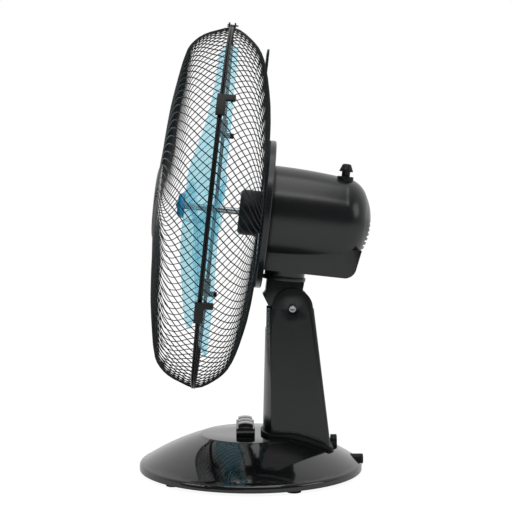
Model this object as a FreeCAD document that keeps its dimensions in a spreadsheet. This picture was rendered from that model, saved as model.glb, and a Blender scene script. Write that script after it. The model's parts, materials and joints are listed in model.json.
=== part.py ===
import FreeCAD, Part

# Desk fan: a round weighted base with three keys, a tapering column, a tilting neck, and an
# oscillating head with a motor, a three-blade propeller and a two-part wire guard.
# Millimetres. The origin is on the floor under the middle of the base, the fan blows
# towards -Y, +X is its side and +Z is up. The head is built level and then tilted as one.

import math
import os

import Sketcher

Vector = FreeCAD.Vector
Rotation = FreeCAD.Rotation
Placement = FreeCAD.Placement

doc = FreeCAD.newDocument("DeskFan")

# ---------------------------------------------------------------- driving dimensions

SIZES = {
    # base
    "base_radius": 133.0,
    "base_wall": 2.6,
    "foot_height": 4.2,
    "skirt_height": 5.0,
    "dome_edge_radius": 129.6,
    "dome_edge_height": 12.6,
    "dome_curve_radius": 280.0,
    "deck_radius": 62.0,
    "deck_height": 45.0,
    "deck_edge": 3.0,
    "floor_gap": 0.5,
    "floor_thickness": 2.5,
    "weight_inner": 24.0,
    "weight_radius": 98.0,
    "weight_height": 9.0,
    "boss_circle": 112.0,
    "boss_radius": 4.5,
    "foot_circle": 118.0,
    "foot_radius": 9.0,
    "foot_stub_radius": 3.0,
    "screw_radius": 1.6,
    "screw_head_radius": 3.2,
    "screw_head_height": 1.8,
    "inlet_radius": 6.0,
    "inlet_bore": 3.4,
    "inlet_height": 13.0,
    "inlet_length": 22.0,
    # keys
    "key_pitch": 18.0,
    "key_gap": 0.8,
    "key_depth": 17.0,
    "key_height": 15.0,
    "key_crown": 1.6,
    "key_rise": 4.2,
    "key_centre": -6.6,
    "key_clearance": 0.3,
    "bezel_wall": 2.2,
    "bezel_height": 10.4,
    "stem_width": 6.0,
    "stem_length": 9.0,
    "switch_height": 19.0,
    "switch_depth": 15.0,
    # column
    "column_half_foot": 34.0,
    "column_half_top": 28.0,
    "column_front_foot": 24.0,
    "column_front_top": 21.5,
    "column_bulge_foot": 10.4,
    "column_bulge_top": 3.0,
    "column_rear_foot": 96.5,
    "column_rear_top": 71.0,
    "column_wall": 2.8,
    "column_top_radius": 24.0,
    "cover_top": 188.0,
    "cover_thickness": 3.0,
    "cover_inset": 3.5,
    "collar_height": 4.5,
    "collar_lip": 2.6,
    "tab_width": 16.0,
    "tab_height": 19.0,
    "tab_thickness": 7.0,
    "column_screw_side": 27.5,
    "column_screw_front": 36.0,
    "column_screw_rear": 78.0,
    "screw_clearance": 0.1,
    # tilt hinge and neck
    "tilt_y": 48.8,
    "tilt_height": 196.3,
    "rest_tilt": 6.2,
    "cheek_thickness": 10.7,
    "neck_half_width": 16.5,
    "neck_lug_radius": 20.0,
    "neck_side_gap": 0.8,
    "bolt_radius": 3.0,
    "bolt_running_gap": 0.05,
    "bolt_head_radius": 4.6,
    "bolt_head_height": 2.4,
    "bolt_recess_radius": 7.5,
    "bolt_recess_depth": 4.5,
    "washer_gap": 0.2,
    # swing pivot
    "swing_y": 36.1,
    "swivel_radius": 25.6,
    "swivel_thickness": 5.0,
    "swivel_top": 232.5,
    "thrust_washer": 0.4,
    "swing_pin_radius": 5.0,
    "swing_pin_end": 203.0,
    "swing_running_gap": 0.05,
    "bush_wall": 2.0,
    # head, along the fan axis: distances in front are negative
    "fan_height": 303.0,
    "rim_y": -57.3,
    "plate_radius": 88.0,
    "plate_front": 58.5,
    "plate_thickness": 8.0,
    "housing_radius": 59.0,
    "housing_wall": 2.5,
    "housing_rear": 188.0,
    "housing_floor": 64.0,
    "chin_half_width": 40.0,
    "chin_rear": 162.0,
    "housing_boss_radius": 27.0,
    "pole_flat": 3.0,
    "vent_count": 9,
    "vent_pitch": 5.4,
    "vent_width": 2.4,
    # guard
    "guard_radius": 213.0,
    "rim_wire": 1.25,
    "guard_wire": 0.8,
    "guard_wires": 72,
    "front_depth": 66.0,
    "rear_depth": 57.3,
    "badge_radius": 44.0,
    "badge_thickness": 4.0,
    "rear_ring_radius": 84.0,
    "nut_radius": 27.0,
    "nut_front": 31.5,
    "clip_angle": 30.0,
    "clip_length": 26.0,
    "handle_half_width": 30.0,
    "handle_thickness": 2.6,
    "wire_clearance": 0.1,
    # motor
    "shaft_radius": 4.0,
    "shaft_front": -41.0,
    "shaft_rear": 165.0,
    "shaft_running_gap": 0.04,
    "stator_radius": 45.0,
    "stator_front": 88.0,
    "stator_length": 30.0,
    "rotor_radius": 26.0,
    "air_gap": 0.4,
    "bell_radius": 50.0,
    "bell_depth": 19.0,
    "bell_wall": 3.0,
    "nose_radius": 18.0,
    "plate_screw_circle": 36.0,
    # propeller
    "blade_radius": 195.0,
    "blade_count": 3,
    "blade_half_angle": 46.0,
    "blade_thickness": 2.4,
    "hub_radius": 19.0,
    "hub_front": -34.0,
    "hub_rear_radius": 12.2,
    "hub_rear": 8.0,
    "spinner_radius": 15.0,
    "spinner_front": -44.8,
    # gearbox and knob
    "gear_centre": 13.0,
    "gear_y": 152.0,
    "worm_radius": 4.6,
    "gear_gap": 0.4,
    "gear_teeth": 30,
    "gear_thickness": 7.0,
    "spindle_radius": 3.0,
    "knob_stem_radius": 4.9,
    "knob_travel": 5.5,
    "knob_cap_bottom": 60.5,
    "knob_cap_top": 69.5,
    "knob_cap_radius": 8.0,
    "knob_tip_radius": 5.2,
}


class Dim:
    """A length that carries its value and the spreadsheet formula that gives it."""

    def __init__(self, value, text):
        self.value = float(value)
        self.text = text

    @staticmethod
    def of(other):
        return other if isinstance(other, Dim) else Dim(other, repr(float(other)))

    def __add__(self, other):
        other = Dim.of(other)
        return Dim(self.value + other.value, f"({self.text} + {other.text})")

    def __sub__(self, other):
        other = Dim.of(other)
        return Dim(self.value - other.value, f"({self.text} - {other.text})")

    def __mul__(self, other):
        other = Dim.of(other)
        return Dim(self.value * other.value, f"({self.text} * {other.text})")

    def __truediv__(self, other):
        other = Dim.of(other)
        return Dim(self.value / other.value, f"({self.text} / {other.text})")

    def __radd__(self, other):
        return Dim.of(other) + self

    def __rsub__(self, other):
        return Dim.of(other) - self

    def __rmul__(self, other):
        return Dim.of(other) * self

    def __neg__(self):
        return Dim(-self.value, f"(0 - {self.text})")


class Sheet:
    """The driving dimensions, read back from the spreadsheet as Dim values."""

    def __init__(self, sizes):
        self.sheet = doc.addObject("Spreadsheet::Sheet", "Sizes")
        for row, (name, value) in enumerate(sizes.items(), start=1):
            self.sheet.set(f"A{row}", name)
            self.sheet.set(f"B{row}", str(value))
            self.sheet.setAlias(f"B{row}", name)
        doc.recompute()

    def __getattr__(self, name):
        return Dim(self.sheet.get(name), f"Sizes.{name}")


s = Sheet(SIZES)


def num(value):
    """The plain number in a Dim or a number."""
    return value.value if isinstance(value, Dim) else float(value)


def bind(owner, path, value):
    """Ties a property of an object to its spreadsheet formula."""
    if isinstance(value, Dim):
        owner.setExpression(path, value.text)


# ---------------------------------------------------------------- frames

# the head's own frame has its origin at the rim's centre
LEVEL_HEAD = Placement(Vector(0, num(s.rim_y), num(s.fan_height)), Rotation())
TILT_CENTRE = Vector(0, num(s.tilt_y), num(s.tilt_height))
TILT = Placement(Vector(), Rotation(Vector(1, 0, 0), -num(s.rest_tilt)), TILT_CENTRE)
ROW = Placement()
NECK = TILT
HEAD = TILT.multiply(LEVEL_HEAD)

pieces = []


def keep(item, label, frame=ROW):
    """Names an object as a piece of the fan and puts it in its frame."""
    item.Label = label
    item.Placement = frame.multiply(item.Placement)
    pieces.append(item)
    return item


# ---------------------------------------------------------------- sketch and feature helpers

def new_body(name):
    return doc.addObject("PartDesign::Body", name)


def origin_feature(body, role):
    return next(item for item in body.Origin.OriginFeatures if item.Role == role)


def new_sketch(body, plane, offset=0):
    sketch = body.newObject("Sketcher::SketchObject", "Sketch")
    sketch.AttachmentSupport = [(origin_feature(body, plane), "")]
    sketch.MapMode = "FlatFace"
    sketch.AttachmentOffset = Placement(Vector(0, 0, num(offset)), Rotation())
    bind(sketch, "AttachmentOffset.Base.z", offset)
    return sketch


def pin_point(sketch, geometry, position, x, y):
    """Fixes one point of a sketch at a formula's x and y."""
    for kind, value in (("DistanceX", x), ("DistanceY", y)):
        number = sketch.addConstraint(
            Sketcher.Constraint(kind, -1, 1, geometry, position, num(value)))
        bind(sketch, f"Constraints[{number}]", value)


def arc_between(start, end, radius):
    """An arc from start to end; a positive radius has its centre on the left of the way."""
    chord = end - start
    left = Vector(-chord.y, chord.x, 0).normalize()
    depth = math.sqrt(radius ** 2 - (chord.Length / 2) ** 2)
    centre = start + chord * 0.5 + left * (depth if radius > 0 else -depth)
    first = math.atan2(start.y - centre.y, start.x - centre.x)
    last = math.atan2(end.y - centre.y, end.x - centre.x)
    if radius < 0:
        first, last = last, first
    if last < first:
        last += 2 * math.pi
    circle = Part.Circle(centre, Vector(0, 0, 1), abs(radius))
    return Part.ArcOfCircle(circle, first, last)


def outline(body, plane, corners, offset=0):
    """A closed sketch. A corner is (x, y), or (x, y, radius) where an arc leads to it."""
    sketch = new_sketch(body, plane, offset)
    points = [Vector(num(corner[0]), num(corner[1]), 0) for corner in corners]
    ends = []
    for index, corner in enumerate(corners):
        start = points[index - 1]
        if len(corner) == 2:
            sketch.addGeometry(Part.LineSegment(start, points[index]), False)
            ends.append((1, 2))
            continue
        radius = num(corner[2])
        sketch.addGeometry(arc_between(start, points[index], radius), False)
        number = sketch.addConstraint(Sketcher.Constraint("Radius", index, abs(radius)))
        value = corner[2]
        bind(sketch, f"Constraints[{number}]", -value if radius < 0 else value)
        ends.append((1, 2) if radius > 0 else (2, 1))
    for index, corner in enumerate(corners):
        after = (index + 1) % len(corners)
        sketch.addConstraint(
            Sketcher.Constraint("Coincident", index, ends[index][1], after, ends[after][0]))
        pin_point(sketch, index, ends[index][1], corner[0], corner[1])
    return sketch


def rectangle(body, plane, x0, x1, y0, y1, offset=0):
    return outline(body, plane, [(x0, y0), (x1, y0), (x1, y1), (x0, y1)], offset)


def circles(body, plane, places, offset=0):
    """A sketch of circles, each (x, y, radius)."""
    sketch = new_sketch(body, plane, offset)
    for index, (x, y, radius) in enumerate(places):
        centre = Vector(num(x), num(y), 0)
        sketch.addGeometry(Part.Circle(centre, Vector(0, 0, 1), num(radius)), False)
        pin_point(sketch, index, 3, x, y)
        number = sketch.addConstraint(Sketcher.Constraint("Radius", index, num(radius)))
        bind(sketch, f"Constraints[{number}]", radius)
    return sketch


def turn(body, sketch, axis="H_Axis", cut=False):
    """Revolves a sketch a whole turn, to add or to cut."""
    kind = "PartDesign::Groove" if cut else "PartDesign::Revolution"
    feature = body.newObject(kind, "Turn")
    feature.Profile = sketch
    feature.ReferenceAxis = (sketch, [axis])
    feature.Angle = 360
    return feature


def pad(body, sketch, length, midplane=False, back=False):
    feature = body.newObject("PartDesign::Pad", "Pad")
    feature.Profile = sketch
    feature.Length = num(length)
    bind(feature, "Length", length)
    feature.Midplane = midplane
    feature.Reversed = back
    return feature


def cut(body, sketch, length=None, midplane=False, back=False):
    """A pocket of the given length, or through everything."""
    feature = body.newObject("PartDesign::Pocket", "Pocket")
    feature.Profile = sketch
    if length is None:
        feature.Type = "ThroughAll"
    else:
        feature.Length = num(length)
        bind(feature, "Length", length)
    feature.Midplane = midplane
    feature.Reversed = back
    return feature


def turned(name, frame, corners, plane="YZ_Plane", axis="H_Axis"):
    """A piece that is one revolved outline."""
    body = new_body(name)
    turn(body, outline(body, plane, corners), axis)
    return keep(body, name, frame)


def shape_piece(name, shape, frame=ROW):
    """A piece whose solid the functions below have worked out."""
    feature = doc.addObject("Part::Feature", name)
    feature.Shape = shape
    return keep(feature, name, frame)


def ring_points(count, radius, first_angle):
    """Points evenly round a circle, as (x, y) pairs of Dim values."""
    angles = [math.radians(first_angle + 360.0 * step / count) for step in range(count)]
    return [(radius * math.cos(angle), radius * math.sin(angle)) for angle in angles]


def round_edges(shape, radius, chosen):
    """Fillets the edges that a test picks."""
    return shape.makeFillet(num(radius), [edge for edge in shape.Edges if chosen(edge)])


def box(x0, x1, y0, y1, z0, z1):
    """A box between two corners."""
    low = Vector(num(x0), num(y0), num(z0))
    high = Vector(num(x1), num(y1), num(z1))
    size = high - low
    return Part.makeBox(size.x, size.y, size.z, low)


def rod(x, y, z, radius, length, direction):
    """A cylinder from a point along a direction."""
    return Part.makeCylinder(num(radius), num(length), Vector(num(x), num(y), num(z)), direction)


ALONG_X = Vector(1, 0, 0)
ALONG_Y = Vector(0, 1, 0)
UP = Vector(0, 0, 1)

# ---------------------------------------------------------------- base

SCREWS = 5
SCREW_START = 59.0
FOOT_START = 23.0
SKIRT_TOP = s.foot_height + s.skirt_height
FLOOR_TOP = s.foot_height + s.floor_thickness
DECK_UNDER = s.deck_height - s.base_wall


def dome_corners(grow):
    """The outer line of the base from the skirt to the deck, grown outwards by a wall."""
    edge = s.deck_radius - s.deck_edge
    return [
        (s.base_radius + grow, SKIRT_TOP),
        (s.dome_edge_radius + grow * 0.7, s.dome_edge_height + grow * 0.7, 4.5),
        (s.deck_radius + grow * 0.45, s.deck_height - 1.0 + grow, s.dome_curve_radius),
        (edge, s.deck_height + grow, 8.0),
    ]


COLUMN_SCREWS = [
    (s.column_screw_side, s.column_screw_front), (-s.column_screw_side, s.column_screw_front),
    (s.column_screw_side, s.column_screw_rear), (-s.column_screw_side, s.column_screw_rear)]


def base_shell():
    body = new_body("base_shell")
    outer = dome_corners(0)
    inner = dome_corners(-s.base_wall)
    bottom = s.foot_height
    back_down = [
        (inner[3][0], inner[3][1]),
        (inner[2][0], inner[2][1], -8.0),
        (inner[1][0], inner[1][1], -s.dome_curve_radius),
        (inner[0][0], inner[0][1], -4.5),
    ]
    corners = [
        (0, DECK_UNDER),
        *back_down,
        (s.base_radius - s.base_wall, bottom),
        (s.base_radius, bottom),
        *outer,
        (0, s.deck_height),
    ]
    turn(body, outline(body, "XZ_Plane", corners), "V_Axis")
    places = ring_points(SCREWS, s.boss_circle, SCREW_START)
    boss_top = s.dome_edge_height + 8.0
    bosses = circles(body, "XY_Plane", [(x, y, s.boss_radius) for x, y in places], FLOOR_TOP)
    pad(body, bosses, boss_top - FLOOR_TOP)
    bores = circles(body, "XY_Plane", [(x, y, s.screw_radius) for x, y in places], FLOOR_TOP)
    cut(body, bores, 9.0, back=True)
    half = s.key_pitch * 1.5 + s.key_clearance
    reach = s.key_depth / 2 + s.key_clearance
    well = rectangle(body, "XY_Plane", -half, half, s.key_centre - reach,
                     s.key_centre + reach, DECK_UNDER - 2.0)
    cut(body, well, s.base_wall + 4.0, back=True)
    lead = circles(body, "XY_Plane", [(0, s.tilt_y, 9.0)], s.dome_edge_height)
    cut(body, lead, s.deck_height, back=True)
    hole = s.screw_radius + s.screw_clearance
    holes = circles(body, "XY_Plane", [(x, y, hole) for x, y in COLUMN_SCREWS],
                    s.dome_edge_height)
    cut(body, holes, s.deck_height, back=True)
    inlet = circles(body, "XZ_Plane", [(0, s.inlet_height, s.inlet_radius)],
                    -(s.base_radius - s.inlet_length))
    cut(body, inlet, s.inlet_length + 4.0, back=False)
    return keep(body, "base_shell")


def base_floor():
    body = new_body("base_floor")
    radius = s.base_radius - s.base_wall - s.floor_gap
    disc = circles(body, "XY_Plane", [(0, 0, radius)], s.foot_height)
    pad(body, disc, s.floor_thickness)
    holes = [(x, y, s.screw_radius) for x, y in ring_points(SCREWS, s.boss_circle, SCREW_START)]
    holes += [(x, y, s.foot_stub_radius) for x, y in ring_points(SCREWS, s.foot_circle, FOOT_START)]
    cut(body, circles(body, "XY_Plane", holes), None, midplane=True)
    return keep(body, "base_floor")


def base_screw_shape():
    shank = rod(0, 0, s.foot_height, s.screw_radius, s.floor_thickness + 7.0, UP)
    head = rod(0, 0, s.foot_height - s.screw_head_height, s.screw_head_radius,
               s.screw_head_height, UP)
    return head.fuse(shank).removeSplitter()


def foot_shape():
    pad_shape = Part.makeCone(num(s.foot_radius) - 0.8, num(s.foot_radius), num(s.foot_height))
    stub = rod(0, 0, 0, s.foot_stub_radius, FLOOR_TOP + 1.2, UP)
    return pad_shape.fuse(stub).removeSplitter()


def copies(shape, places):
    """One compound of a shape moved to each place."""
    made = []
    for x, y in places:
        made.append(shape.translated(Vector(num(x), num(y), 0)))
    return Part.makeCompound(made)


def base():
    base_shell()
    base_floor()
    turned("base_weight", ROW, [
        (s.weight_inner, FLOOR_TOP), (s.weight_radius, FLOOR_TOP),
        (s.weight_radius, FLOOR_TOP + s.weight_height),
        (s.weight_inner, FLOOR_TOP + s.weight_height)], "XZ_Plane", "V_Axis")
    shape_piece("base_screws", copies(
        base_screw_shape(), ring_points(SCREWS, s.boss_circle, SCREW_START)))
    shape_piece("rubber_feet", copies(
        foot_shape(), ring_points(SCREWS, s.foot_circle, FOOT_START)))
    body = new_body("cord_inlet")
    ring = circles(body, "XZ_Plane", [(0, s.inlet_height, s.inlet_radius)],
                   -(s.base_radius - s.inlet_length + 2.0))
    pad(body, ring, s.inlet_length, back=True)
    bore = circles(body, "XZ_Plane", [(0, s.inlet_height, s.inlet_bore)])
    cut(body, bore, None, midplane=True)
    keep(body, "cord_inlet")


# ---------------------------------------------------------------- keys

KEY_NAMES = ("key_stop", "key_low", "key_high")
KEY_HALF = (s.key_pitch - s.key_gap) / 2
KEY_BOTTOM = s.deck_height + s.bezel_height + s.key_rise - s.key_height + s.key_crown


def key_cap(name, place):
    """One key: a hollow cap with a crowned top and a square stem."""
    body = new_body(name)
    back = s.key_centre + s.key_depth / 2
    front = s.key_centre - s.key_depth / 2
    side = s.key_height - s.key_crown
    cap = outline(body, "YZ_Plane", [
        (front, KEY_BOTTOM), (back, KEY_BOTTOM), (back, KEY_BOTTOM + side),
        (front, KEY_BOTTOM + side, 24.0)], place)
    pad(body, cap, KEY_HALF * 2, midplane=True)
    stem = s.stem_width / 2
    well = rectangle(body, "XY_Plane", place - KEY_HALF + 1.8, place + KEY_HALF - 1.8,
                     front + 1.8, back - 1.8, KEY_BOTTOM)
    cut(body, well, side - 2.4, back=True)
    foot = rectangle(body, "XY_Plane", place - stem, place + stem, s.key_centre - stem,
                     s.key_centre + stem, KEY_BOTTOM - s.stem_length)
    pad(body, foot, s.stem_length + side - 2.0)
    return keep(body, name)


def keys():
    for index, name in enumerate(KEY_NAMES):
        key_cap(name, s.key_pitch * (index - 1.0))
    half = s.key_pitch * 1.5 + s.key_clearance
    reach = s.key_depth / 2 + s.key_clearance
    wall = s.bezel_wall
    bezel = new_body("key_bezel")
    block = rectangle(bezel, "XY_Plane", -half - wall, half + wall, s.key_centre - reach - wall,
                      s.key_centre + reach + wall, s.deck_height)
    pad(bezel, block, s.bezel_height)
    opening = rectangle(bezel, "XY_Plane", -half, half, s.key_centre - reach,
                        s.key_centre + reach, s.deck_height)
    cut(bezel, opening, s.bezel_height, back=True)
    keep(bezel, "key_bezel")
    switch = new_body("switch_body")
    top = DECK_UNDER
    flange = rectangle(switch, "XY_Plane", -half - 4.0, half + 4.0, s.key_centre - reach - 4.0,
                       s.key_centre + reach + 4.0, top - 3.0)
    pad(switch, flange, 3.0)
    half_depth = s.switch_depth / 2
    case = rectangle(switch, "XY_Plane", -half, half, s.key_centre - half_depth,
                     s.key_centre + half_depth, top - s.switch_height)
    pad(switch, case, s.switch_height - 3.0)
    slot = s.stem_width / 2 + s.key_clearance
    slots = new_sketch(switch, "XY_Plane", top - s.switch_height + 4.0)
    for index in range(3):
        x = s.key_pitch * (index - 1.0)
        first = index * 4
        corners = [(x - slot, s.key_centre - slot), (x + slot, s.key_centre - slot),
                   (x + slot, s.key_centre + slot), (x - slot, s.key_centre + slot)]
        points = [Vector(num(a), num(b), 0) for a, b in corners]
        for side in range(4):
            slots.addGeometry(Part.LineSegment(points[side - 1], points[side]), False)
        for side in range(4):
            after = first + (side + 1) % 4
            slots.addConstraint(Sketcher.Constraint("Coincident", first + side, 2, after, 1))
            pin_point(slots, first + side, 2, *corners[side])
    cut(switch, slots, s.switch_height, back=True)
    keep(switch, "switch_body")


# ---------------------------------------------------------------- column

CHEEK_INNER = s.neck_half_width + s.neck_side_gap
SLOT_FLOOR = s.tilt_height - s.neck_lug_radius - 5.0


def column_section(height, share, inset):
    """The column's outline in plan at a height; share is 0 at the foot and 1 at the top."""
    def between(foot, top):
        return num(foot) + (num(top) - num(foot)) * share
    half = between(s.column_half_foot, s.column_half_top) - inset
    front = between(s.column_front_foot, s.column_front_top) + inset
    bulge = between(s.column_bulge_foot, s.column_bulge_top)
    rear = between(s.column_rear_foot, s.column_rear_top) - inset
    z = num(height)
    corner = 5.0
    points = [Vector(half, front, z), Vector(half, rear - corner, z),
              Vector(half - corner, rear, z), Vector(-half + corner, rear, z),
              Vector(-half, rear - corner, z), Vector(-half, front, z)]
    edges = [
        Part.LineSegment(points[0], points[1]).toShape(),
        Part.Arc(points[1], Vector(half - corner * 0.3, rear - corner * 0.3, z),
                 points[2]).toShape(),
        Part.LineSegment(points[2], points[3]).toShape(),
        Part.Arc(points[3], Vector(-half + corner * 0.3, rear - corner * 0.3, z),
                 points[4]).toShape(),
        Part.LineSegment(points[4], points[5]).toShape(),
        Part.Arc(points[5], Vector(0, front - bulge, z), points[0]).toShape(),
    ]
    return Part.Wire(edges)


def column_mass(inset, low, high):
    """The column's tapering block between two heights, drawn in by a wall."""
    foot_level = num(s.dome_edge_height)
    top_level = num(s.tilt_height + s.column_top_radius)
    wires = []
    for height in (low, high):
        share = (num(height) - foot_level) / (top_level - foot_level)
        wires.append(column_section(height, share, inset))
    return Part.makeLoft(wires, True, True)


def dome_solid(grow):
    """The base's outer form as a solid block, grown outwards."""
    corners = [(0.0, 0.0), (s.base_radius + grow, 0.0), *dome_corners(grow),
               (0.0, s.deck_height + grow)]
    points = [Vector(num(corner[0]), 0, num(corner[1])) for corner in corners]
    edges = []
    for index, corner in enumerate(corners):
        start, end = points[index - 1], points[index]
        if len(corner) == 2:
            edges.append(Part.LineSegment(start, end).toShape())
            continue
        flat = [Vector(p.x, p.z, 0) for p in (start, end)]
        middle = arc_between(flat[0], flat[1], num(corner[2]))
        half = middle.value((middle.FirstParameter + middle.LastParameter) / 2)
        edges.append(Part.Arc(start, Vector(half.x, 0, half.y), end).toShape())
    face = Part.Face(Part.Wire(edges))
    return face.revolve(Vector(), UP, 360)


def round_top(radius):
    """Everything below the column's rounded top, as a block to keep."""
    y, z = num(s.tilt_y), num(s.tilt_height)
    wide = num(s.base_radius)
    post = Part.makeBox(2 * wide, 4 * wide, z, Vector(-wide, y - 2 * wide, 0))
    cap = rod(-wide, y, z, radius, 2 * wide, ALONG_X)
    return post.fuse(cap)


def column():
    foot = num(s.dome_edge_height)
    top = num(s.tilt_height + s.column_top_radius) + 1
    collar_top = dome_solid(s.collar_height)
    cover_plane = num(s.cover_top)
    mass = column_mass(0, foot, top).common(round_top(s.column_top_radius))
    wall = num(s.column_wall)
    hollow_top = num(SLOT_FLOOR) - wall
    hollow = column_mass(wall, foot, hollow_top)
    inner = num(CHEEK_INNER)
    slot = box(-inner, inner, 0, s.base_radius, SLOT_FLOOR, top)
    shell = mass.cut(hollow).cut(slot).cut(collar_top)
    # the rear cover closes a shallow seat in the column's back
    thick = num(s.cover_thickness)
    inset = num(s.cover_inset)
    back = mass.cut(column_mass(thick, foot, top))
    taper = (num(s.column_rear_foot) - num(s.column_rear_top)) / (top - foot)
    lean = math.degrees(math.atan(taper))
    half = num(s.column_half_top) - inset
    window = box(-half, half, -thick * 1.4, thick * 2, 0, cover_plane - num(s.deck_height))
    window.Placement = Placement(
        Vector(0, num(s.column_rear_foot), foot), Rotation(ALONG_X, lean)).multiply(
            Placement(Vector(0, 0, num(s.deck_height) - foot), Rotation()))
    cover = back.common(window).cut(collar_top)
    shell = shell.cut(window)
    lead = rod(0, s.tilt_y, SLOT_FLOOR - 10.0, 5.0, 20.0, UP)
    shell = shell.cut(lead)
    bolt = rod(-num(s.base_radius), s.tilt_y, s.tilt_height, s.bolt_radius,
               s.base_radius * 2, ALONG_X)
    near = num(s.column_half_top) - num(s.bolt_recess_depth)
    recess = rod(near, s.tilt_y, s.tilt_height, s.bolt_recess_radius, 20.0, ALONG_X)
    far_recess = rod(-near, s.tilt_y, s.tilt_height, s.bolt_recess_radius, 20.0, -ALONG_X)
    shell = shell.cut(bolt).cut(recess).cut(far_recess)
    bosses = []
    bores = []
    for x, y in COLUMN_SCREWS:
        boss = rod(x, y, foot, 5.5, 60.0, UP)
        bosses.append(boss.common(column_mass(wall - 0.6, foot, top)).cut(collar_top))
        bores.append(rod(x, y, foot, s.screw_radius, 52.0, UP))
    for boss in bosses:
        shell = shell.fuse(boss)
    for bore in bores:
        shell = shell.cut(bore)
    shape_piece("column_shell", shell.removeSplitter())
    shape_piece("column_cover", cover.removeSplitter())
    collar_form = column_mass(-num(s.collar_lip), foot, foot + 60)
    band = collar_form.common(collar_top).cut(dome_solid(0)).cut(
        column_mass(num(s.collar_lip) + 8.0, foot - 1, foot + 61))
    y_tab = num(s.column_rear_foot) + num(s.collar_lip) - 3.0
    tab = box(-num(s.tab_width) / 2, num(s.tab_width) / 2, y_tab, y_tab + num(s.tab_thickness),
              foot, foot + 11.0 + num(s.tab_height))
    tab = round_edges(tab, num(s.tab_width) / 2 - 0.5,
                      lambda edge: edge.BoundBox.ZMin > foot + 20 and edge.BoundBox.YLength > 1)
    tab = tab.cut(dome_solid(0)).cut(column_mass(-0.2, foot - 1, top))
    collar = band.fuse(tab)
    for x, y in COLUMN_SCREWS:
        collar = collar.cut(rod(x, y, foot, s.screw_radius + s.screw_clearance, 60.0, UP))
    shape_piece("column_collar", collar.removeSplitter())


def column_screws():
    """Screws from inside the base up into the column's bosses."""
    made = []
    dome_inside = dome_solid(-s.base_wall)
    for x, y in COLUMN_SCREWS:
        line = Part.makeLine(Vector(num(x), num(y), 0),
                             Vector(num(x), num(y), num(s.deck_height) + 5))
        seat = dome_inside.common(line).BoundBox.ZMax
        drop = 1.2
        head = rod(x, y, seat - drop - num(s.screw_head_height), s.screw_head_radius,
                   s.screw_head_height, UP)
        shank = rod(x, y, seat - drop, s.screw_radius, 18.0, UP)
        made.append(head.fuse(shank).removeSplitter())
    return Part.makeCompound(made)


# ---------------------------------------------------------------- tilt hinge and neck

def hinge():
    """The tilt bolt from the near cheek through the neck to its nut in the far cheek."""
    seat = s.column_half_top - s.bolt_recess_depth
    frame = Placement(TILT_CENTRE, Rotation())
    turned("tilt_bolt", frame, [
        (-seat - 4.2, 0), (-seat - 4.2, s.bolt_radius), (seat, s.bolt_radius),
        (seat, s.bolt_head_radius), (seat + s.bolt_head_height, s.bolt_head_radius - 0.6),
        (seat + s.bolt_head_height, 0)], "XZ_Plane")
    nut = new_body("tilt_nut")
    across = s.bolt_head_radius
    angles = [math.radians(60 * step) for step in range(6)]
    hexagon = [(across * math.cos(a), across * math.sin(a)) for a in angles]
    pad(nut, outline(nut, "YZ_Plane", hexagon, -seat - 3.4), 3.4)
    cut(nut, circles(nut, "YZ_Plane", [(0, 0, s.bolt_radius)]), None, midplane=True)
    keep(nut, "tilt_nut", frame)
    inner = num(s.neck_half_width) + num(s.washer_gap)
    thick = num(CHEEK_INNER) - inner
    ring = rod(inner, 0, 0, 11.0, thick, ALONG_X).cut(rod(0, 0, 0, s.bolt_radius, 40, ALONG_X))
    shape_piece("tilt_washers", Part.makeCompound([ring, ring.mirror(Vector(), ALONG_X)]), frame)


SWIVEL_BOTTOM = s.swivel_top - s.swivel_thickness
BUSH_RADIUS = s.swing_pin_radius + s.bush_wall
BUSH_END = s.swing_pin_end + 4.6


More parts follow.
